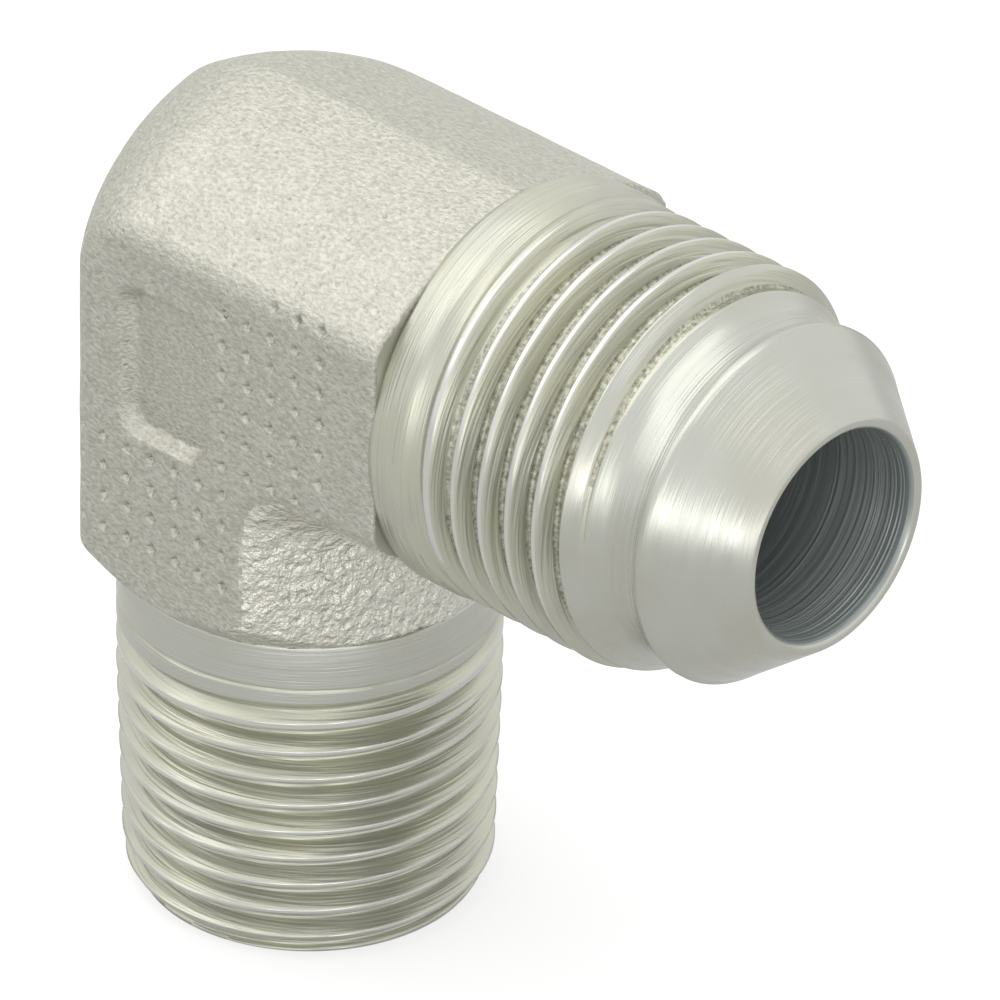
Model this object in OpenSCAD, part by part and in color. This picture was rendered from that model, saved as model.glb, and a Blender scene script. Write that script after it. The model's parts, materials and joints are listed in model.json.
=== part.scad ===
// Ninety degree hydraulic elbow adapter, one steel forging with two turned ends.
// The flare end points along +X, the tapered pipe end points down, and the
// origin is the middle of the pipe end's face. All lengths are in millimetres.

/* [Forged body] */
// Distance across the two flat wrench pads
pad_width = 18.6; // [17.6:0.1:20]
// From an arm's axis to the pad's edge on the outer side of the bend
pad_outer = 5.2; // [4.6:0.1:5.8]
// From an arm's axis to the pad's edge on the inner side of the bend
pad_inner = 4.7; // [4.2:0.1:5.4]
// From an arm's axis to the parting line on the outer side of the bend
ridge_outer = 9.5; // [8.8:0.1:10.4]
// From an arm's axis to the parting line on the inner side of the bend
ridge_inner = 8.7; // [8.2:0.1:9.4]
// Radius that rounds the pad's outline at the outer corner of the bend
pad_corner = 3.2; // [2:0.1:4]
// How far a sloped face bulges beyond the straight line between its edges
face_crown = 0.7; // [0.3:0.05:1]
// From the flare arm's shoulder to the pipe axis
flare_shoulder = 12.6; // [12:0.1:14]
// From the pipe arm's shoulder to the flare axis
pipe_shoulder = 14; // [13.4:0.1:15]

/* [Flare end] */
// From the pipe axis to the tip of the flare nose
flare_reach = 31.2; // [30:0.1:34]
// Diameter of the plain turned collar behind the thread
flare_collar_d = 19.2; // [19:0.05:20]
// Major diameter of the straight thread
flare_thread_d = 18.97; // [18.7:0.01:19.05]
// Pitch of the straight thread, sixteen turns to the inch
flare_pitch = 1.5875; // [1.4:0.0125:1.7]
// Length from the tip to the thread's last groove
flare_thread_back = 16.7; // [16:0.1:17]
// Length from the tip to the start of the thread
flare_thread_front = 7.8; // [7.4:0.1:8.4]
// Diameter of the plain neck between the thread and the nose
neck_d = 16.3; // [15.8:0.1:16.6]
// Diameter of the nose at its base
nose_base_d = 16.8; // [16.6:0.1:17.2]
// Half angle of the sealing nose in degrees
nose_angle = 37; // [30:1:45]
// Diameter of the nose at its tip
nose_tip_d = 10.9; // [10.7:0.1:11.6]
// Diameter of the bore through the flare arm
flare_bore_d = 9.9; // [8.5:0.1:10.3]

/* [Pipe end] */
// From the flare axis to the pipe end's face
pipe_reach = 30.5; // [29:0.1:34]
// Diameter of the plain turned collar above the thread
pipe_collar_d = 17.2; // [17:0.05:17.6]
// Major diameter of the taper thread at its small end
pipe_thread_d = 16.5; // [16.2:0.01:16.7]
// Pitch of the taper thread, eighteen turns to the inch
pipe_pitch = 1.4111; // [1.3:0.01:1.5]
// Length from the end's face to the thread's last groove
pipe_thread_len = 14.3; // [13:0.1:14.6]
// Growth of the thread's diameter for each millimetre of length
pipe_taper = 0.0625; // [0.05:0.0025:0.07]
// Length of the lead-in chamfer at the end's face
pipe_chamfer = 1.1; // [0.6:0.1:1.6]
// Diameter of the bore through the pipe arm
pipe_bore_d = 10.3; // [8.5:0.1:10.8]

/* [Edges and drilling] */
// Depth of both threads as a share of the pitch
thread_depth = 0.6; // [0.5:0.02:0.66]
// Width of a thread's crest and root flats as a share of the pitch
thread_flat = 0.12; // [0.08:0.01:0.2]
// Turns over which a thread fades out towards its collar
fade_turns = 2; // [1:1:3]
// Length of the slope by which a turned collar meets the forging or the thread
collar_blend = 0.25; // [0.1:0.05:0.4]
// Size of the chamfer at the mouth of each bore
bore_chamfer = 0.25; // [0.1:0.05:0.5]
// Point angle of the drills that cut the two bores
drill_angle = 118; // [90:2:140]
// How far a drill's full width passes the other bore's axis
drill_past = 2.6; // [2.4:0.1:3.2]

/* [Hidden] */
$fn = 96;
pad_y = pad_width / 2;
corner_off = pad_outer - pad_corner;
steel = [0.74, 0.74, 0.71];
far = 60;
flare_thread_end = flare_reach - flare_thread_front;
flare_thread_start = flare_reach - flare_thread_back;
nose_len = (nose_base_d - nose_tip_d) / 2 / tan(nose_angle);
nose_base_x = flare_reach - nose_len;
neck_rise = (nose_base_d - neck_d) / 2;
neck_front = nose_base_x - 3 * neck_rise;
flare_depth = flare_pitch * thread_depth;
pipe_depth = pipe_pitch * thread_depth;
lead_in_len = (flare_thread_d - neck_d) / 2 / tan(35);
pipe_thread_start = pipe_reach - pipe_thread_len;
pipe_thread_end = pipe_reach - pipe_chamfer;
// The turned ends reach this far into the forging, inside its faces.
root_len = 3;
flare_root_r = min(ridge_inner, ridge_outer) * 0.85;
pipe_root_r = min(ridge_inner, ridge_outer) * 0.85;
axis_z = pipe_reach;

// A disc whose edge runs from a to b as a shallow arc that bulges by the crown.
module crowned_disc(a, b) {
    chord = norm(b - a);
    r = chord * chord / 8 / face_crown + face_crown / 2;
    out = [b[1] - a[1], a[0] - b[0]] / chord;
    translate((a + b) / 2 - out * (r - face_crown)) circle(r, $fn = 360);
}

// Section of a forged arm: the first coordinate runs outwards across the bend,
// the second from pad to pad. The sloped faces meet at the parting line.
module arm_section() {
    intersection() {
        translate([-far / 2, -pad_y]) square([far, pad_width]);
        crowned_disc([pad_outer, -pad_y], [ridge_outer, 0]);
        crowned_disc([ridge_outer, 0], [pad_outer, pad_y]);
        crowned_disc([-pad_inner, pad_y], [-ridge_inner, 0]);
        crowned_disc([-ridge_inner, 0], [-pad_inner, -pad_y]);
    }
}

// The outer corner of the bend, where the section swings round the pad's corner.
module bend_corner() {
    translate([-corner_off, 0, corner_off]) rotate([90, 0, 0]) rotate_extrude()
        intersection() {
            translate([-corner_off, 0]) arm_section();
            translate([0, -pad_y]) square([far, pad_width]);
        }
}

// Both forged arms and the corner between them, about the meeting of the axes.
module forging() {
    translate([-corner_off, 0, 0]) rotate([0, 90, 0]) rotate([0, 0, 180])
        linear_extrude(flare_shoulder + corner_off) arm_section();
    difference() {
        translate([0, 0, -pipe_shoulder]) rotate([0, 0, 180])
            linear_extrude(pipe_shoulder + corner_off) arm_section();
        shoulder_trim();
    }
    bend_corner();
}

// The ring cut away where the pipe arm's shoulder is turned to a slope.
module shoulder_trim() {
    collar_r = pipe_collar_d / 2;
    widest = norm([pad_y, max(pad_outer, pad_inner)]) + 1;
    rotate_extrude() polygon([
        [collar_r, -pipe_shoulder], [widest, widest - collar_r - pipe_shoulder],
        [widest, -pipe_shoulder - 1], [collar_r, -pipe_shoulder - 1]]);
}

// Groove depth at turn i of n, which fades over the first turns from the collar.
function fade(i) = min(1, (i + 0.6) / (fade_turns + 0.6));

// Outline of a ringed thread from the collar to the free end. A point holds the
// length along the axis and the radius, and slope is the radius lost for each
// millimetre of length.
function ring(s, p, r, depth) = [
    [s + p * thread_flat / 2, r], [s + p / 2 - p * thread_flat / 2, r - depth],
    [s + p / 2 + p * thread_flat / 2, r - depth], [s + p - p * thread_flat / 2, r]];
function thread_line(s0, s1, p, r0, slope, depth) =
    let (n = floor((s1 - s0) / p))
    [for (i = [0 : n - 1])
        each ring(s0 + i * p, p, r0 - slope * i * p, depth * fade(i))];

// Turns an outline of length and radius pairs about Z.
module turned(line) {
    rotate_extrude() polygon([for (p = line) [p[1], p[0]]]);
}

// The flare end: root inside the forging, collar, thread, neck and sealing nose.
module flare_turning() {
    rotate([0, 90, 0]) turned(concat(
        [[flare_shoulder - root_len, 0], [flare_shoulder - root_len, flare_root_r],
         [flare_shoulder - collar_blend, flare_root_r],
         [flare_shoulder + collar_blend, flare_collar_d / 2],
         [flare_thread_start - collar_blend, flare_collar_d / 2]],
        thread_line(flare_thread_start, flare_thread_end, flare_pitch,
                    flare_thread_d / 2, 0, flare_depth),
        [[flare_thread_end, flare_thread_d / 2],
         [flare_thread_end + lead_in_len, neck_d / 2],
         [neck_front, neck_d / 2], [nose_base_x, nose_base_d / 2],
         [flare_reach, nose_tip_d / 2], [flare_reach, 0]]));
}

// The pipe end, turned about Z and drawn from its collar down to its face.
module pipe_turning() {
    mirror([0, 0, 1]) turned(concat(
        [[pipe_shoulder - root_len, 0], [pipe_shoulder - root_len, pipe_root_r],
         [pipe_shoulder, pipe_collar_d / 2],
         [pipe_thread_start - collar_blend, pipe_collar_d / 2]],
        thread_line(pipe_thread_start, pipe_thread_end, pipe_pitch,
                    pipe_thread_d / 2 + pipe_thread_len * pipe_taper / 2,
                    pipe_taper / 2, pipe_depth),
        [[pipe_thread_end, pipe_thread_d / 2],
         [pipe_reach, pipe_thread_d / 2 - pipe_chamfer * tan(30)],
         [pipe_reach, 0]]));
}

// A drilled bore with its point, and the chamfer at its mouth, cut along +Z.
module bore(d, reach) {
    tip = d / 2 / tan(drill_angle / 2);
    translate([0, 0, -drill_past]) cylinder(h = reach + drill_past + 1, d = d);
    translate([0, 0, -drill_past - tip]) cylinder(h = tip, d1 = 0, d2 = d);
    translate([0, 0, reach - bore_chamfer])
        cylinder(h = bore_chamfer + 1, d1 = d, d2 = d + 2 * bore_chamfer + 2);
}

module elbow() {
    color(steel) translate([0, 0, axis_z]) difference() {
        union() {
            forging();
            flare_turning();
            pipe_turning();
        }
        rotate([0, 90, 0]) bore(flare_bore_d, flare_reach);
        rotate([180, 0, 0]) bore(pipe_bore_d, pipe_reach);
    }
}

elbow();
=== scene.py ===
# Dressed model of a right-angle hydraulic elbow adapter: one zinc plated steel
# forging with a turned flare end and a turned taper pipe end. Lengths in the
# functions are in millimetres about the point where the two arms' axes cross.
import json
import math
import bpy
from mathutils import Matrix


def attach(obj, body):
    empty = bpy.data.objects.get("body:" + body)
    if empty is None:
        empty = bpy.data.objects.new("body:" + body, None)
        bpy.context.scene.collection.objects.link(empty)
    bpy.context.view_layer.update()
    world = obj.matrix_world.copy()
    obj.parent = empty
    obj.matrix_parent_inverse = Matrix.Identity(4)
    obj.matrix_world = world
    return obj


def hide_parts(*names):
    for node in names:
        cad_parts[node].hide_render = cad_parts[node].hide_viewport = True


bl_info = {
    "name": "Hydraulic Elbow Adapter",
    "version": (1, 0, 0),
    "blender": (4, 5, 0),
    "location": "3D View > Sidebar > Elbow",
    "description": "Builds a forged right-angle hydraulic elbow adapter and its studio",
    "category": "Object",
}

import bpy
import numpy as np
from mathutils import Matrix, Vector, noise

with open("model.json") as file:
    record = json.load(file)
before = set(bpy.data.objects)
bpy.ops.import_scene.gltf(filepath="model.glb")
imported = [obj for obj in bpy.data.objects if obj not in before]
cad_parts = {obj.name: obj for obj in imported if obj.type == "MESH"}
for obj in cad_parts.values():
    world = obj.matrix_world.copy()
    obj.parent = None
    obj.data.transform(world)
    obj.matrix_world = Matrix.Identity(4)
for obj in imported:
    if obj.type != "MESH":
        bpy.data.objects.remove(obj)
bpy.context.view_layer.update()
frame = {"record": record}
MOUNTS = {m["name"]: m for m in frame["record"]["mounts"]}
AXIS_Z = MOUNTS["flare_bore"]["pos_m"][2]
PAD_Y = abs(MOUNTS["wrench_pad_front"]["pos_m"][1])
FLARE_REACH = MOUNTS["flare_nose"]["pos_m"][0]
FLARE_BORE_R = MOUNTS["flare_bore"]["dims"]["r_mm"] / 1000
PIPE_BORE_R = MOUNTS["pipe_bore"]["dims"]["r_mm"] / 1000

MM = 1000
# Finishes, which are also the material slots of the pieces.
# The crest finish is lighter as a painted highlight, and the root finish darker, partly as painted
# shade.
TURNED, FLANK, ROOT_TORN_AND_SHADE, BORED, CREST_HIGHLIGHT = 0, 1, 2, 3, 4
# The lumpy finish inside the bend is lighter, as painted light on those slopes.
BLASTED, LUMPY_PAINTED_LIGHT = 1, 2
# Turned surfaces have this many facets round them, twelve to each thread step.
STEPS = 24
AROUND = STEPS * 12


def length(name, value, about):
    """A size property in metres."""
    return bpy.props.FloatProperty(name=name, description=about, default=value,
                                   min=0, subtype="DISTANCE", unit="LENGTH")


def colour(name, value, about):
    """A colour property that holds an sRGB hex value."""
    return bpy.props.StringProperty(name=name, description=about, default=value)


class ElbowSizes(bpy.types.PropertyGroup):
    pad_outer: length("Pad edge, outside", 0.0052, "Arm axis to the pad's edge outside the bend")
    pad_inner: length("Pad edge, inside", 0.0047, "Arm axis to the pad's edge inside the bend")
    ridge_outer: length("Ridge, outside", 0.0095, "Arm axis to the parting line outside the bend")
    ridge_inner: length("Ridge, inside", 0.0087, "Arm axis to the parting line inside the bend")
    pad_corner: length("Pad corner", 0.0032, "Radius of the pad's outline at the outer corner")
    face_crown: length("Crown", 0.0007, "Bulge of the sloped faces")
    flare_shoulder: length("Flare shoulder", 0.0126, "Pipe axis to the flare arm's shoulder")
    pipe_shoulder: length("Pipe shoulder", 0.014, "Flare axis to the pipe arm's shoulder")
    flare_collar: length("Flare collar", 0.0096, "Radius of the collar behind the flare thread")
    flare_major: length("Flare thread", 0.009485, "Major radius of the straight thread")
    flare_pitch: length("Flare pitch", 0.0015875, "Pitch of the straight thread")
    pipe_collar: length("Pipe collar", 0.0086, "Radius of the collar above the pipe thread")
    pipe_major: length("Pipe thread", 0.00825, "Major radius of the taper thread at its face")
    pipe_pitch: length("Pipe pitch", 0.0014111, "Pitch of the taper thread")
    recess_depth: length("Recess depth", 0.00062, "Depth of the bare recess in the front pad")
    dent_depth: length("Dent depth", 0.0003, "Depth of the grid of small dents")


class ElbowColours(bpy.types.PropertyGroup):
    forging: colour("Forging", "#C3C2B8", "Blasted and plated forging")
    forging_dark: colour("Forging pits", "#A3A297", "Pits and stains in the forging")
    # Lighter than the forging: painted light on the slopes inside the bend.
    scale: colour("Lumpy forging", "#DAD8CC", "Coarse lumps inside the bend")
    turned: colour("Turned", "#B6B7AF", "Turned and plated surfaces")
    turned_tint: colour("Turned tint", "#B3B3A8", "Yellow-green tint of thin plating")
    flank: colour("Thread flanks", "#BBBBAC", "Lined flanks of the threads")
    # Lighter than the flanks: a painted highlight on the thread crests.
    crest: colour("Thread crests", "#C8C8C3", "Burnished crests of the threads")
    # Darker partly for the torn finish and partly as painted shade in the groove.
    root: colour("Thread roots", "#7F7D6E", "Torn roots of the threads")
    bore: colour("Bore", "#949B98", "Bored surfaces")
    floor: colour("Floor", "#959595", "Studio floor and backdrop")


# ---- shape of the forging --------------------------------------------------


def smooth_max(a, b, r):
    """Largest of two distances, with a round of radius r where they cross."""
    u, v = np.maximum(a + r, 0), np.maximum(b + r, 0)
    return np.minimum(np.maximum(a, b), -r) + np.hypot(u, v)


def smooth_min(a, b, r):
    """Smallest of two distances, with a fillet of radius r where they cross."""
    u, v = np.maximum(r - a, 0), np.maximum(r - b, 0)
    return np.maximum(np.minimum(a, b), r) - np.hypot(u, v)


class Forging:
    """Signed distance, in millimetres, to the forged body before its texture."""

    def __init__(self, s):
        self.pad_y = PAD_Y * MM
        self.outer, self.inner = s.pad_outer * MM, s.pad_inner * MM
        self.ridge_out, self.ridge_in = s.ridge_outer * MM, s.ridge_inner * MM
        self.crown, self.swing = s.face_crown * MM, (s.pad_outer - s.pad_corner) * MM
        self.flare_end, self.pipe_end = s.flare_shoulder * MM, s.pipe_shoulder * MM
        self.pipe_collar = s.pipe_collar * MM
        self.recess, self.dent = s.recess_depth * MM, s.dent_depth * MM

    def side(self, o, y, edge, ridge):
        """Distance to a sloped face that rises from the pad's edge to the ridge."""
        a, b = np.array([edge, self.pad_y]), np.array([ridge, 0.0])
        chord = np.linalg.norm(b - a)
        r = chord ** 2 / 8 / self.crown + self.crown / 2
        out = np.array([a[1] - b[1], b[0] - a[0]]) / chord
        centre = (a + b) / 2 - out * (r - self.crown)
        return np.hypot(o - centre[0], np.abs(y) - centre[1]) - r

    def distance(self, p):
        x, y, z = p[:, 0], p[:, 1], p[:, 2]
        c = self.swing
        round_o = c + np.hypot(x + c, z - c)
        o = np.where((x < -c) & (z > c), round_o, np.maximum(z, -x))
        d = self.side(o, y, self.outer, self.ridge_out)
        # The inside of the bend is filled by a cone, wide at the pads.
        share = np.clip(np.abs(y) / self.pad_y, 0, 1)
        fill = 0.45 + 1.9 * share
        inside = smooth_min(self.side(-z, y, self.inner, self.ridge_in),
                            self.side(x, y, self.inner, self.ridge_in), fill)
        d = smooth_max(d, inside, 0.5)
        d = smooth_max(d, np.abs(y) - self.pad_y, 0.55)
        d = smooth_max(d, x - self.flare_end, 0.12)
        radius = np.hypot(x, y)
        slope = (radius - self.pipe_collar - z - self.pipe_end) * math.sqrt(0.5)
        d = smooth_max(d, slope, 0.12)
        d = np.maximum(d, -self.pipe_end - z)
        flare = np.hypot(y, z)
        bore = np.where(x > 10, flare - 6, flare - FLARE_BORE_R * MM)
        bore = np.maximum(bore, -x - 2.6)
        down = np.where(z < -11, radius - 6, radius - PIPE_BORE_R * MM)
        down = np.maximum(down, z - 2.6)
        return np.maximum(d, -np.minimum(bore, down))

    def slope(self, p, h=0.01):
        """Gradient of the distance."""
        g = [(self.distance(p + h * e) - self.distance(p - h * e)) / (2 * h) for e in np.eye(3)]
        return np.stack(g, 1)


def surface_net(field, low, high, cell):
    """Points and quads of the zero surface of a field sampled on a cubic grid."""
    axes = [np.arange(a, b + cell, cell) for a, b in zip(low, high)]
    shape = [len(a) for a in axes]
    grid = np.stack(np.meshgrid(*axes, indexing="ij"), -1).reshape(-1, 3)
    value = field(grid).reshape(shape)
    inside = value < 0
    total, count = np.zeros([n - 1 for n in shape] + [3]), np.zeros([n - 1 for n in shape])
    quads = []
    cut = lambda a, lo, hi: a[tuple(slice(lo[k], (hi[k] or None)) for k in range(3))]
    for axis in range(3):
        step = np.eye(3, dtype=int)[axis]
        v0 = cut(value, (0, 0, 0), -step)
        v1 = cut(value, step, (0, 0, 0))
        cross = (v0 < 0) != (v1 < 0)
        t = np.where(cross, v0 / np.where(cross, v0 - v1, 1), 0)
        others = [k for k in range(3) if k != axis]
        index = np.argwhere(cross)
        point = np.stack([axes[k][index[:, k]] for k in range(3)], 1)
        point[:, axis] += t[tuple(index.T)] * cell
        for da in (0, 1):
            for db in (0, 1):
                near = index.copy()
                near[:, others[0]] -= da
                near[:, others[1]] -= db
                np.add.at(total, tuple(near.T), point)
                np.add.at(count, tuple(near.T), 1)
        corners = []
        for da, db in ((0, 0), (1, 0), (1, 1), (0, 1)):
            near = index.copy()
            near[:, others[0]] -= da
            near[:, others[1]] -= db
            corners.append(near)
        quad = np.stack(corners, 1)
        flip = inside[tuple(index.T)]
        if axis == 1:
            flip = ~flip
        quad[flip] = quad[flip][:, ::-1]
        quads.append(quad)
    used = np.argwhere(count > 0)
    name = -np.ones(count.shape, int)
    name[tuple(used.T)] = np.arange(len(used))
    points = total[tuple(used.T)] / count[tuple(used.T)][:, None]
    faces = np.concatenate([name[tuple(np.moveaxis(q, -1, 0))] for q in quads])
    return points, faces


def refine(points, faces, chosen):
    """Splits each chosen quad in four, and its neighbours so that no gap opens."""
    points, out, middle = [tuple(p) for p in points], [], {}

    def mean(face):
        corners = [points[i] for i in face]
        return tuple(sum(c) / len(face) for c in zip(*corners))

    for f, split in zip(faces, chosen):
        for a, b in zip(f, f[1:] + f[:1]):
            key = (min(a, b), max(a, b))
            if split and key not in middle:
                middle[key] = len(points)
                points.append(mean((a, b)))
    for f, split in zip(faces, chosen):
        ring = []
        for a, b in zip(f, f[1:] + f[:1]):
            ring.append(a)
            if (min(a, b), max(a, b)) in middle:
                ring.append(middle[(min(a, b), max(a, b))])
        if split:
            points.append(mean(f))
            out += [(ring[2 * k], ring[2 * k + 1], len(points) - 1, ring[2 * k - 1])
                    for k in range(4)]
        else:
            out.append(tuple(ring))
    return np.array(points), out


def grain(points, size, seed):
    """Smooth noise from -1 to 1 whose lumps are about size millimetres across."""
    shift = Vector((seed * 13.7, seed * 7.1, seed * 3.3))
    return np.array([noise.noise(Vector(p) / size + shift) for p in points])


# Rows of small dents in the front pad: the row, then its first and last column.
DENT_ROWS = ((3, 4, 6), (2, 2, 6), (1, 2, 6), (0, 2, 6), (-1, 2, 6), (-2, 2, 6), (-3, 2, 6),
             (-4, -4, 2), (-5, -4, 2), (-6, -4, 2), (-7, -4, 2))
DENT_X, DENT_Z, DENT_PITCH_X, DENT_PITCH_Z = 0.65, 0.4, 1.45, 1.545


def recess_edge(x, z):
    """Distance outside the edge of the bare rounded recess in the front pad."""
    cx, cz, hx, hz, corner = -0.05, -1.2, 2.5, 3.6, 1.2
    qx, qz = np.abs(x - cx) - hx + corner, np.abs(z - cz) - hz + corner
    return np.hypot(np.maximum(qx, 0), np.maximum(qz, 0)) + np.minimum(
        np.maximum(qx, qz), 0) - corner


def dent_share(x, z, reach):
    """One at the middle of a small dent, falling to zero at its diamond edge."""
    col = np.round((x - DENT_X) / DENT_PITCH_X)
    row = np.round((z - DENT_Z) / DENT_PITCH_Z)
    wander = np.stack([noise.noise_vector(Vector((c * 3.1, r * 5.7, 2.2)))
                       for c, r in zip(col, row)])
    dx = x - DENT_X - DENT_PITCH_X * col - 0.1 * wander[:, 0]
    dz = z - DENT_Z - DENT_PITCH_Z * row - 0.1 * wander[:, 1]
    used = np.zeros(len(x), bool)
    for at, first, last in DENT_ROWS:
        used |= (row == at) & (col >= first) & (col <= last)
    share = 1 - np.abs(dx) / (0.33 * reach) - np.abs(dz) / (0.38 * reach)
    return used * np.clip(share, 0, 1) * (1.1 + 0.4 * wander[:, 2])


def inside_bend(p):
    """One on the lumpy slopes inside the bend, falling to zero at their edge."""
    return np.clip((p[:, 0] - 2.9) / 1.2, 0, 1) * np.clip((-4.3 - p[:, 2]) / 1.0, 0, 1)


def settle(form, points):
    """Moves points onto the zero surface and gives their normals."""
    for _ in range(2):
        g = form.slope(points)
        d = form.distance(points)
        points = points - g * (d / np.maximum((g ** 2).sum(1), 0.3))[:, None]
    g = form.slope(points)
    return points, g / np.maximum(np.linalg.norm(g, axis=1), 1e-6)[:, None]


def forging_mesh(s):
    """The forged body with its fillets, dents, bare recess and lumpy skin."""
    form = Forging(s)
    low = (-form.ridge_out - 0.6, -form.pad_y - 0.6, -form.pipe_end - 0.6)
    high = (form.flare_end + 0.6, form.pad_y + 0.6, form.ridge_out + 0.6)
    points, faces = surface_net(form.distance, low, high, 0.28)
    points, normal = settle(form, points)
    faces = [tuple(f) for f in faces.tolist()]
    for level in (1, 2):
        at = np.array([points[list(f)].mean(0) for f in faces])
        front = at[:, 1] < -form.pad_y + 0.5
        if level == 1:
            chosen = front | (inside_bend(at) > 0)
        else:
            chosen = front & ((dent_share(at[:, 0], at[:, 2], 1.4) > 0)
                              | (np.abs(recess_edge(at[:, 0], at[:, 2])) < 0.4))
        chosen &= np.array([len(f) == 4 for f in faces])
        points, faces = refine(points, faces, chosen)
    points, normal = settle(form, points)
    x, y, z = points.T
    near_axis = np.minimum(np.hypot(y, z) + 99 * (x < -6), np.hypot(x, y) + 99 * (z > 6))
    cut = (normal[:, 0] > 0.97) & (x > form.flare_end - 0.3)
    finish = np.where(near_axis < 6.2, BORED, np.where(cut, TURNED, BLASTED))
    rough = finish == BLASTED
    lumpy = inside_bend(points) * np.clip((0.95 - np.abs(normal[:, 1])) / 0.1, 0, 1)
    # Lumpy faces inside the bend take the lighter lumpy colour, painted light on that slope.
    finish[rough & (lumpy > 0.5 + 0.4 * grain(points, 0.6, 6))] = LUMPY_PAINTED_LIGHT
    on_front = np.clip((-normal[:, 1] - 0.75) / 0.2, 0, 1) * (y < 0)
    move = 0.028 * grain(points, 1.9, 1) + 0.014 * grain(points, 0.75, 2)
    move += lumpy * (0.055 * grain(points, 1.0, 3) + 0.045 * grain(points, 0.5, 4))
    # The recess is a rounded rectangle with soft walls, steepest to the right.
    edge = recess_edge(x, z) + 0.08 * grain(points, 1.6, 5)
    wall = 0.65 - 0.2 * np.clip((x - 1.5) / 0.8, 0, 1) + 0.4 * np.clip((-x - 1.2) / 0.8, 0, 1)
    sink = np.clip(0.5 - edge / wall, 0, 1)
    move -= on_front * form.recess * sink ** 2 * (3 - 2 * sink)
    move -= on_front * (edge > 0.3) * form.dent * dent_share(x, z, 1)
    points = points + normal * (move * rough)[:, None]
    return points, faces, finish


# ---- turned ends -----------------------------------------------------------


def turned_mesh(start, thread, end):
    """A closed turned tube. start and end are (length, radius, finish) rings and
    thread holds a pitch, a span and a radius function that the rows follow."""
    turn = np.arange(AROUND) / AROUND
    angle = 2 * math.pi * turn
    rows = [(np.full(AROUND, s), np.full(AROUND, r), f) for s, r, f in start]
    step = thread["pitch"] / STEPS
    first = len(rows)
    count = int(math.ceil((thread["to"] - thread["from"]) / step))
    part = (np.arange(AROUND) % (AROUND // STEPS)) / (AROUND // STEPS)
    for i in range(count):
        s = thread["from"] + (i + part) * step
        rows.append((s, *thread["radius"](s, turn)))
    last = len(rows) - 1
    rows += [(np.full(AROUND, s), np.full(AROUND, r), f) for s, r, f in end]
    points, finish = [], []
    for s, r, f in rows:
        points.append(np.stack([s, r * np.cos(angle), r * np.sin(angle)], 1))
        finish.append(np.broadcast_to(f, AROUND))
    points, finish = np.concatenate(points), np.concatenate(finish)
    faces = []
    n, q = AROUND, AROUND // STEPS
    for i in range(len(rows)):
        k = (i + 1) % len(rows)
        threaded = first <= i < last
        for j in range(n):
            m = (j + 1) % n
            if threaded and m % q == 0:
                if i == first:
                    faces.append((i * n + j, i * n + m, k * n + m))
                if k < last:
                    faces.append((i * n + j, k * n + m, (k + 1) * n + m, k * n + j))
                else:
                    faces.append((i * n + j, k * n + m, k * n + j))
            else:
                faces.append((i * n + j, i * n + m, k * n + m, k * n + j))
    return points, faces, finish


def groove(phase, crest, root):
    """Depth share of a thread groove: 0 on the crest flat and 1 on the root."""
    off = np.abs((phase + 0.5) % 1 - 0.5) * 2
    return np.clip((1 - crest - off) / (1 - crest - root), 0, 1)


def thread_finish(r, envelope, root, plain):
    """Crests are lighter as a painted highlight, flanks lined, roots torn and darker, partly as
    painted shade. Plain parts stay turned.
    """
    cut = r < envelope - 0.03
    crest = np.where(plain, TURNED, CREST_HIGHLIGHT)
    torn = (r < root) & (r < envelope - 0.12)
    return np.where(torn, ROOT_TORN_AND_SHADE, np.where(cut, FLANK, crest))


def bored_rows(mouth, root, r, marks):
    """Rings of a bored wall from its mouth inwards, with ridges left by the drill."""
    rows = [(x, r) for x in np.arange(mouth - 0.5, root + 0.2, -0.5)]
    for offset, height in marks:
        x = mouth - offset
        rows += [(x + 0.05, r), (x, r - height), (x - 0.05, r + height / 2), (x - 0.1, r)]
    rows.sort(reverse=True)
    return [(x, ring_r, BORED) for x, ring_r in rows] + [(root, r, BORED)]


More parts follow.
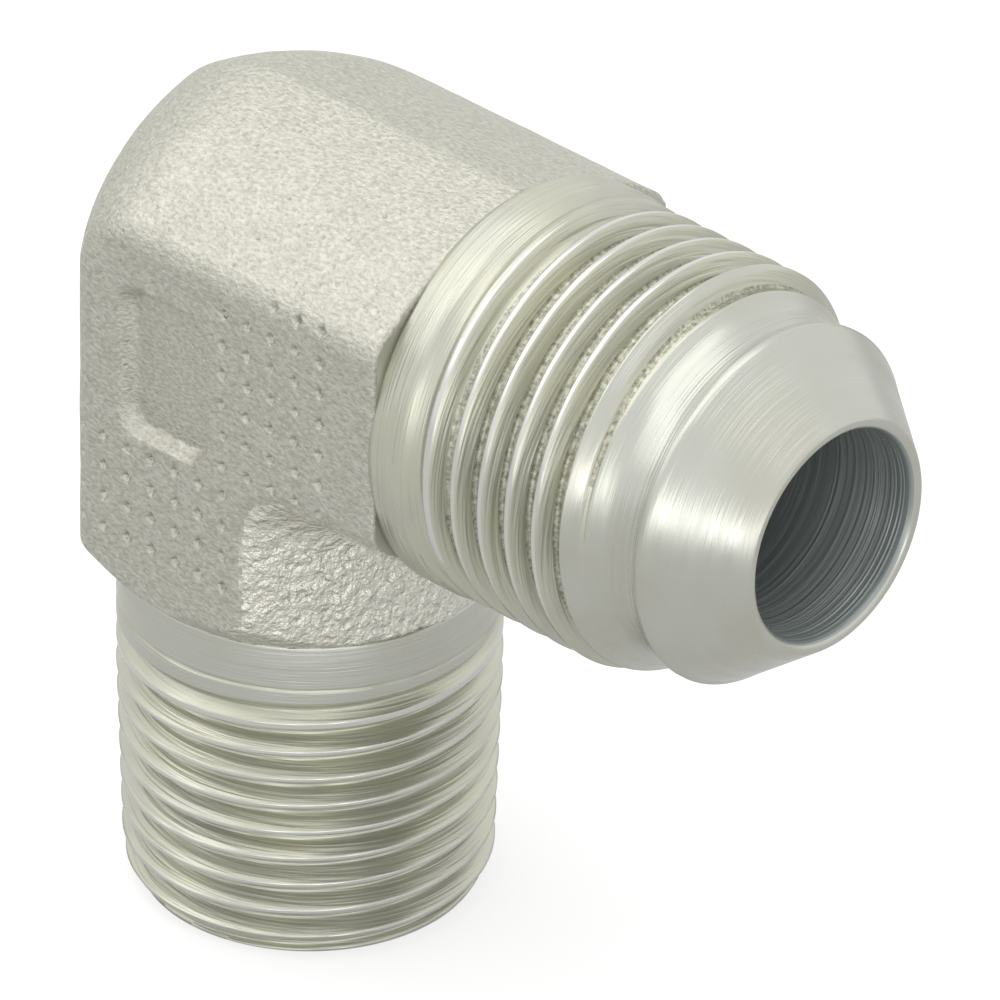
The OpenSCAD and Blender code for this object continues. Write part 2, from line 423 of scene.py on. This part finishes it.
def flare_mesh(s):
    """Collar, straight thread, neck, sealing nose and mouth of the flare end."""
    pitch, major, collar = s.flare_pitch * MM, s.flare_major * MM, s.flare_collar * MM
    x0, tip, bore = s.flare_shoulder * MM, FLARE_REACH * MM, FLARE_BORE_R * MM
    depth, phase = 0.53 * pitch, FLARE_PHASE

    def radius(x, turn):
        envelope = np.where(x < x0 + 2.05, collar, major)
        envelope = np.minimum(envelope, major - (x - tip + 7.9) * 0.72 + 0.02)
        fade = np.clip((x - x0 - 1.7) / (1.6 * pitch), 0, 1)
        cut = groove((x - phase) / pitch - turn, 0.09, 0.26)
        r = np.minimum(envelope, major + 0.12 - (depth + 0.12) * cut * fade ** 0.8)
        picked = thread_finish(r, envelope, major - 0.84 * depth, x > tip - 7.9)
        return r, np.where(x < x0 + 3, np.where(picked == CREST_HIGHLIGHT, FLANK, picked), picked)

    start = [(10, 8, TURNED), (x0 - 0.3, 8.2, TURNED), (x0 - 0.25, collar - 0.25, TURNED),
             (x0, collar - 0.1, FLANK), (x0 + 0.12, collar - 0.02, FLANK),
             (x0 + 0.25, collar, FLANK), (x0 + 1.5, collar, FLANK)]
    thread = {"pitch": pitch, "from": x0 + 1.6, "to": tip - 6.35, "radius": radius}
    nose_r, rim_r = 8.4, 5.45
    base = tip - (nose_r - rim_r) / math.tan(math.radians(37))
    end = [(tip - 6.15, 8.28, TURNED), (tip - 6.0, 8.2, TURNED), (tip - 5.7, 8.15, TURNED),
           (base - 0.75, 8.15, TURNED), (base - 0.35, 8.22, TURNED),
           (base - 0.1, 8.33, TURNED), (base + 0.12, 8.33, TURNED)]
    for share in np.linspace(0.08, 0.97, 12):
        end.append((base + (tip - base) * share, nose_r + (rim_r - nose_r) * share, TURNED))
    end += [(tip - 0.03, rim_r + 0.01, TURNED), (tip, rim_r - 0.06, TURNED),
            (tip, bore + 0.25, TURNED), (tip - 0.1, bore + 0.1, TURNED),
            (tip - 0.25, bore, BORED)]
    marks = [(0.62, 0.05), (0.85, 0.04), (1.1, 0.06), (1.33, 0.03), (1.62, 0.05), (1.95, 0.03),
             (2.3, 0.04), (2.75, 0.02), (3.4, 0.02), (4.3, 0.04), (6.1, 0.02), (7.4, 0.05),
             (9.3, 0.02), (10.8, 0.05), (12.2, 0.03), (13.9, 0.04)]
    end += bored_rows(tip, 10, bore, marks)
    return turned_mesh(start, thread, end)


def pipe_mesh(s):
    """Collar, taper thread, lead-in chamfer and face of the pipe end."""
    pitch, collar = s.pipe_pitch * MM, s.pipe_collar * MM
    z0, tip, bore = s.pipe_shoulder * MM, AXIS_Z * MM, PIPE_BORE_R * MM
    small, depth, phase = s.pipe_major * MM, 0.57 * pitch, PIPE_PHASE

    def radius(d, turn):
        major = small + (tip - d) / 32
        envelope = np.minimum(np.minimum(collar, major + 0.02), small - 0.62 + (tip - d) * 0.58)
        envelope = np.where(d < z0 + 2, np.minimum(collar, envelope + 0.05), envelope)
        fade = np.clip((d - z0 - 1.6) / (2.2 * pitch), 0, 1)
        cut = groove((d - phase) / pitch - turn, 0.06, 0.16)
        line = np.clip(1 - np.abs(d - z0 - 2.2) / 0.1, 0, 1)
        r = np.minimum(envelope, major + 0.1 - (depth + 0.1) * cut * fade ** 0.8) - 0.06 * line
        return r, thread_finish(r, envelope, 0, (d < z0 + 3.2) | (d > tip - 1.2))

    start = [(11, 7.6, TURNED), (z0 - 0.2, 7.8, TURNED), (z0 - 0.1, collar - 0.12, TURNED),
             (z0, collar - 0.02, TURNED), (z0 + 0.1, collar, TURNED), (z0 + 1.4, collar, TURNED)]
    thread = {"pitch": pitch, "from": z0 + 1.5, "to": tip - 0.12, "radius": radius}
    end = [(tip, small - 0.66, TURNED), (tip, bore + 0.3, TURNED), (tip - 0.08, bore + 0.14, BORED),
           (tip - 0.25, bore, BORED)]
    end += bored_rows(tip, 11, bore, [(0.7, 0.04), (1.4, 0.03), (2.6, 0.04), (5.1, 0.03)])
    return turned_mesh(start, thread, end)


FLARE_PHASE = 20.64
PIPE_PHASE = 15.76


# ---- materials -------------------------------------------------------------


def linear(code):
    """Turns an sRGB hex value into a linear colour with full alpha."""
    parts = [int(code[i:i + 2], 16) / 255 for i in (1, 3, 5)]
    return [c / 12.92 if c <= 0.04045 else ((c + 0.055) / 1.055) ** 2.4 for c in parts] + [1]


def add(tree, kind, inputs=None, **settings):
    """Adds a node with its settings, and its inputs as values or links."""
    node = tree.nodes.new(kind)
    for name, value in settings.items():
        setattr(node, name, value)
    for name, value in (inputs or {}).items():
        if isinstance(value, bpy.types.NodeSocket):
            tree.links.new(value, node.inputs[name])
        else:
            node.inputs[name].default_value = value
    return node


def new_material(name):
    """An empty node material, its tree and its output."""
    material = bpy.data.materials.new(name)
    material.use_nodes = True
    tree = material.node_tree
    tree.nodes.clear()
    return material, tree, add(tree, "ShaderNodeOutputMaterial")


def noise_at(tree, where, size, detail=2.0, rough=0.5):
    """Noise whose lumps are about size millimetres across."""
    return add(tree, "ShaderNodeTexNoise", {"Vector": where, "Scale": MM / size,
                                            "Detail": detail, "Roughness": rough})


def forging_material(name, light, dark, lump, relief, shine):
    # Shot-blasted steel forging under clear zinc plate: an even matt grey that
    # breaks into fine slanting bright and dark specks, with an occasional tiny
    # pit. Inside the bend the lumps are coarse and glint.
    material, tree, out = new_material(name)
    where = add(tree, "ShaderNodeTexCoord").outputs["Object"]
    slant = add(tree, "ShaderNodeMapping", {"Vector": where, "Rotation": (0, 0.7, 0),
                                            "Scale": (0.6, 1, 1)})
    grit = noise_at(tree, slant.outputs["Vector"], 0.17, 3, 0.6)
    lumps = noise_at(tree, where, lump, 2)
    pit = add(tree, "ShaderNodeTexVoronoi", {"Vector": where, "Scale": MM / 0.9})
    speck = add(tree, "ShaderNodeMapRange", {"Value": pit.outputs["Distance"], "From Min": 0.03,
                                             "From Max": 0.13, "To Min": 1, "To Max": 0})
    fine = add(tree, "ShaderNodeMapRange", {"Value": grit.outputs["Fac"], "From Min": 0.3,
                                            "From Max": 0.7, "To Min": 0, "To Max": 1})
    base = add(tree, "ShaderNodeMix", {0: fine.outputs["Result"], 6: linear(dark),
                                       7: linear(light)}, data_type="RGBA")
    gloss = add(tree, "ShaderNodeMapRange", {"Value": lumps.outputs["Fac"], "To Min": shine,
                                             "To Max": shine + 0.15})
    coarse = add(tree, "ShaderNodeBump", {"Height": lumps.outputs["Fac"], "Strength": 1,
                                          "Distance": relief})
    bump = add(tree, "ShaderNodeBump", {"Height": grit.outputs["Fac"], "Strength": 1,
                                        "Distance": 0.00008, "Normal": coarse.outputs["Normal"]})
    holes = add(tree, "ShaderNodeBump", {"Height": speck.outputs["Result"], "Strength": 0.6,
                                         "Distance": 0.00008, "Normal": bump.outputs["Normal"]},
                invert=True)
    shader = add(tree, "ShaderNodeBsdfPrincipled", {
        "Base Color": base.outputs[2], "Metallic": 1.0, "Roughness": gloss.outputs["Result"],
        "Normal": holes.outputs["Normal"]})
    tree.links.new(shader.outputs[0], out.inputs[0])
    return material


def turned_material(name, axis, colour_a, colour_b, rough, line, relief, metal=1.0):
    # Turned steel under clear zinc plate: bright, with fine rings left by the
    # tool and a faint yellow-green bloom where the plating is thin.
    material, tree, out = new_material(name)
    where = add(tree, "ShaderNodeTexCoord").outputs["Object"]
    scale = [0.02, 0.02, 0.02]
    scale[axis] = 1
    stretch = add(tree, "ShaderNodeMapping", {"Vector": where, "Scale": scale})
    lines = noise_at(tree, stretch.outputs["Vector"], line, 2, 0.6)
    wide = noise_at(tree, stretch.outputs["Vector"], line * 5, 2)
    bloom = noise_at(tree, where, 4, 2)
    patch = add(tree, "ShaderNodeMapRange", {"Value": bloom.outputs["Fac"], "From Min": 0.42,
                                             "From Max": 0.65})
    base = add(tree, "ShaderNodeMix", {0: patch.outputs["Result"], 6: linear(colour_a),
                                       7: linear(colour_b)}, data_type="RGBA")
    gloss = add(tree, "ShaderNodeMapRange", {"Value": wide.outputs["Fac"], "From Min": 0.3,
                                             "From Max": 0.7, "To Min": rough - 0.06,
                                             "To Max": rough + 0.08})
    bump = add(tree, "ShaderNodeBump", {"Height": lines.outputs["Fac"], "Strength": 1,
                                        "Distance": relief})
    rings = add(tree, "ShaderNodeTangent", direction_type="RADIAL", axis="XYZ"[axis])
    shader = add(tree, "ShaderNodeBsdfPrincipled", {
        "Base Color": base.outputs[2], "Metallic": metal, "Roughness": gloss.outputs["Result"],
        "Normal": bump.outputs["Normal"], "Anisotropic": 0.5, "Anisotropic Rotation": 0.25,
        "Tangent": rings.outputs["Tangent"]})
    tree.links.new(shader.outputs[0], out.inputs[0])
    return material


def torn_root_and_shade_material(c):
    # Cut thread roots: the tool tears the steel, so they are dull and speckled
    # and hold a yellow-olive film of plating. Their dark colour is also painted
    # shade at the bottom of the groove.
    material, tree, out = new_material("torn_thread_root_and_painted_shade")
    where = add(tree, "ShaderNodeTexCoord").outputs["Object"]
    tear = noise_at(tree, where, 0.22, 4, 0.65)
    patch = noise_at(tree, where, 1.5, 2)
    fine = add(tree, "ShaderNodeMapRange", {"Value": tear.outputs["Fac"], "From Min": 0.35,
                                            "From Max": 0.65})
    base = add(tree, "ShaderNodeMix", {0: fine.outputs["Result"], 6: linear(c.root),
                                       7: linear(c.flank)}, data_type="RGBA")
    gloss = add(tree, "ShaderNodeMapRange", {"Value": patch.outputs["Fac"], "To Min": 0.34,
                                             "To Max": 0.5})
    bump = add(tree, "ShaderNodeBump", {"Height": tear.outputs["Fac"], "Strength": 0.5,
                                        "Distance": 0.00005})
    shader = add(tree, "ShaderNodeBsdfPrincipled", {
        "Base Color": base.outputs[2], "Metallic": 1.0, "Roughness": gloss.outputs["Result"],
        "Normal": bump.outputs["Normal"]})
    tree.links.new(shader.outputs[0], out.inputs[0])
    return material


def floor_material(c):
    # Matt studio paper that shows white to the camera and to reflections.
    material, tree, out = new_material("matt_studio_paper")
    path = add(tree, "ShaderNodeLightPath")
    seen = add(tree, "ShaderNodeMath", {0: path.outputs["Is Camera Ray"],
                                        1: path.outputs["Is Glossy Ray"]}, operation="MAXIMUM")
    also = add(tree, "ShaderNodeMath", {0: seen.outputs[0],
                                        1: path.outputs["Is Transmission Ray"]},
               operation="MAXIMUM")
    level = add(tree, "ShaderNodeMath", {0: also.outputs[0], 1: 0.42}, operation="MULTIPLY")
    lift = add(tree, "ShaderNodeMath", {0: path.outputs["Is Camera Ray"], 1: 0.27,
                                        2: level.outputs[0]}, operation="MULTIPLY_ADD")
    paper = add(tree, "ShaderNodeBsdfDiffuse", {"Color": linear(c.floor)})
    glow = add(tree, "ShaderNodeEmission", {"Color": (1, 1, 1, 1), "Strength": lift.outputs[0]})
    both = add(tree, "ShaderNodeAddShader", {0: paper.outputs[0], 1: glow.outputs[0]})
    tree.links.new(both.outputs[0], out.inputs[0])
    return material


# ---- building --------------------------------------------------------------


def place(name, points, faces, finish, materials):
    """Puts a mesh given about the crossing of the axes into the frame, in metres."""
    mesh = bpy.data.meshes.new(name)
    metres = points / MM + np.array([0, 0, AXIS_Z])
    mesh.from_pydata(metres.tolist(), [], [tuple(int(i) for i in f) for f in faces])
    for material in materials:
        mesh.materials.append(material)
    picks = [min(finish[i] for i in f) if max(finish[i] for i in f) == CREST_HIGHLIGHT
             else max(finish[i] for i in f) for f in faces]
    mesh.polygons.foreach_set("material_index", np.array(picks, dtype=np.int32))
    mesh.polygons.foreach_set("use_smooth", np.ones(len(mesh.polygons), bool))
    mesh.update()
    piece = bpy.data.objects.new(name, mesh)
    bpy.context.scene.collection.objects.link(piece)
    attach(piece, "root")
    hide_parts("elbow")
    return piece


def finishes(c, axis):
    """Turned, flank, root and bored finishes for an end whose axis is given."""
    end = ("flare", "", "pipe")[axis]
    return [turned_material("turned_zinc_plated_" + end, axis, c.turned, c.turned_tint,
                            0.32, 0.12, 0.00003),
            turned_material("lined_thread_flank_" + end, axis, c.flank, c.turned_tint,
                            0.38, 0.16, 0.00007),
            torn_root_and_shade_material(c),
            turned_material("bored_steel_" + end, axis, c.bore, c.bore, 0.42, 0.3, 0.00008, 0.5),
            # The crest colour is lighter than the flanks: a painted highlight on the crests.
            turned_material("thread_crest_painted_highlight_" + end, axis, c.crest, c.crest,
                            0.24, 0.12, 0.00002)]


class ELBOW_OT_forging(bpy.types.Operator):
    """Forged body with both arms and the corner between them"""
    bl_idname = "elbow.forging"
    bl_label = "Forged body"

    def execute(self, context):
        scene = context.scene
        points, faces, finish = forging_mesh(scene.elbow_sizes)
        c = scene.elbow_colours
        place("forged_body", points, faces, finish, [
            turned_material("turned_zinc_plated_shoulder", 0, c.turned, c.turned_tint,
                            0.32, 0.12, 0.00003),
            forging_material("blasted_zinc_plated_forging", c.forging, c.forging_dark,
                             1.1, 0.00004, 0.46),
            # The lumpy forging's lighter colour is painted light on the slopes inside the bend.
            forging_material("lumpy_forging_painted_light", c.scale, c.forging,
                             0.45, 0.00028, 0.24),
            turned_material("bored_steel_inside", 0, c.bore, c.bore, 0.42, 0.3, 0.00008, 0.5)])
        return {"FINISHED"}


class ELBOW_OT_flare_end(bpy.types.Operator):
    """Turned flare end with its straight thread and sealing nose"""
    bl_idname = "elbow.flare_end"
    bl_label = "Flare end"

    def execute(self, context):
        scene = context.scene
        points, faces, finish = flare_mesh(scene.elbow_sizes)
        place("flare_end", points, faces, finish, finishes(scene.elbow_colours, 0))
        return {"FINISHED"}


class ELBOW_OT_pipe_end(bpy.types.Operator):
    """Turned pipe end with its taper thread"""
    bl_idname = "elbow.pipe_end"
    bl_label = "Pipe end"

    def execute(self, context):
        scene = context.scene
        points, faces, finish = pipe_mesh(scene.elbow_sizes)
        points = np.stack([points[:, 1], -points[:, 2], -points[:, 0]], 1)
        place("pipe_end", points, faces, finish, finishes(scene.elbow_colours, 2))
        return {"FINISHED"}


# Camera fitted to the photograph, in millimetres about the crossing of the axes.
CAMERA_AT = (478.6556, -501.1685, 419.0706)
CAMERA_RIGHT = (0.727254, 0.686299, 0.009793)
CAMERA_UP = (-0.368299, 0.378159, 0.849324)
VIEW_DISTANCE, VIEW_WIDTH = 809.775, 43.8508


class ELBOW_OT_stage(bpy.types.Operator):
    """Floor, lights and camera"""
    bl_idname = "elbow.stage"
    bl_label = "Stage"

    def execute(self, context):
        scene = context.scene
        side = 1.5
        mesh = bpy.data.meshes.new("studio_floor")
        mesh.from_pydata([(-side, -side, 0), (side, -side, 0), (side, side, 0), (-side, side, 0)],
                         [], [(0, 1, 2, 3)])
        mesh.materials.append(floor_material(scene.elbow_colours))
        floor = bpy.data.objects.new("studio_floor", mesh)
        scene.collection.objects.link(floor)
        world = bpy.data.worlds.new("studio")
        scene.world = world
        world.use_nodes = True
        tree = world.node_tree
        tree.nodes.clear()
        path = add(tree, "ShaderNodeLightPath")
        shown = add(tree, "ShaderNodeMath", {0: path.outputs["Is Camera Ray"],
                                             1: path.outputs["Is Transmission Ray"]},
                    operation="MAXIMUM")
        level = add(tree, "ShaderNodeMapRange", {"Value": shown.outputs[0], "To Min": 1.22,
                                                 "To Max": 1})
        sky = add(tree, "ShaderNodeBackground", {"Color": (1, 1, 1, 1),
                                                 "Strength": level.outputs[0]})
        out = add(tree, "ShaderNodeOutputWorld")
        tree.links.new(sky.outputs[0], out.inputs[0])
        lamps = [("softbox_above", (-0.08, -0.03, 0.46), (0.5, 0.5), 0.85),
                 ("strip_right", (0.32, -0.33, 0.05), (0.5, 0.14), 0.4),
                 ("softbox_left", (-0.27, -0.25, 0.3), (0.24, 0.24), 0.2)]
        centre = Vector((0.01, 0, 0.02))
        for name, at, size, power in lamps:
            lamp = bpy.data.lights.new(name, "AREA")
            lamp.shape, lamp.energy = "RECTANGLE", power
            lamp.size, lamp.size_y = size
            holder = bpy.data.objects.new(name, lamp)
            holder.location = at
            holder.rotation_mode = "QUATERNION"
            holder.rotation_quaternion = (centre - Vector(at)).to_track_quat("-Z", "Y")
            scene.collection.objects.link(holder)
        camera = bpy.data.cameras.new("photo_view")
        camera.sensor_width = 36
        camera.lens = 36 * VIEW_DISTANCE / VIEW_WIDTH
        camera.clip_start, camera.clip_end = 0.05, 20
        holder = bpy.data.objects.new("photo_view", camera)
        right, up = Vector(CAMERA_RIGHT), Vector(CAMERA_UP)
        back = right.cross(up)
        turn = Matrix((right, up, back)).transposed().to_4x4()
        place_at = Vector(CAMERA_AT) / MM + Vector((0, 0, AXIS_Z))
        holder.matrix_world = Matrix.Translation(place_at) @ turn
        scene.collection.objects.link(holder)
        scene.camera = holder
        scene.view_settings.view_transform = "Standard"
        return {"FINISHED"}


class ELBOW_PT_panel(bpy.types.Panel):
    """Lists the sizes, the colours and the building steps"""
    bl_idname = "ELBOW_PT_panel"
    bl_label = "Elbow"
    bl_space_type = "VIEW_3D"
    bl_region_type = "UI"
    bl_category = "Elbow"

    def draw(self, context):
        for group in (context.scene.elbow_sizes, context.scene.elbow_colours):
            box = self.layout.box()
            for name in group.__annotations__:
                box.prop(group, name)
        for step in STEPS_IN_ORDER:
            self.layout.operator(step.bl_idname)


STEPS_IN_ORDER = (ELBOW_OT_forging, ELBOW_OT_flare_end, ELBOW_OT_pipe_end, ELBOW_OT_stage)
CLASSES = (ElbowSizes, ElbowColours) + STEPS_IN_ORDER + (ELBOW_PT_panel,)


def register():
    for item in CLASSES:
        bpy.utils.register_class(item)
    bpy.types.Scene.elbow_sizes = bpy.props.PointerProperty(type=ElbowSizes)
    bpy.types.Scene.elbow_colours = bpy.props.PointerProperty(type=ElbowColours)


def unregister():
    del bpy.types.Scene.elbow_colours
    del bpy.types.Scene.elbow_sizes
    for item in reversed(CLASSES):
        bpy.utils.unregister_class(item)


def main():
    register()
    bpy.ops.elbow.forging()
    bpy.ops.elbow.flare_end()
    bpy.ops.elbow.pipe_end()
    bpy.ops.elbow.stage()
    bpy.context.view_layer.update()


if __name__ == "__main__":
    main()
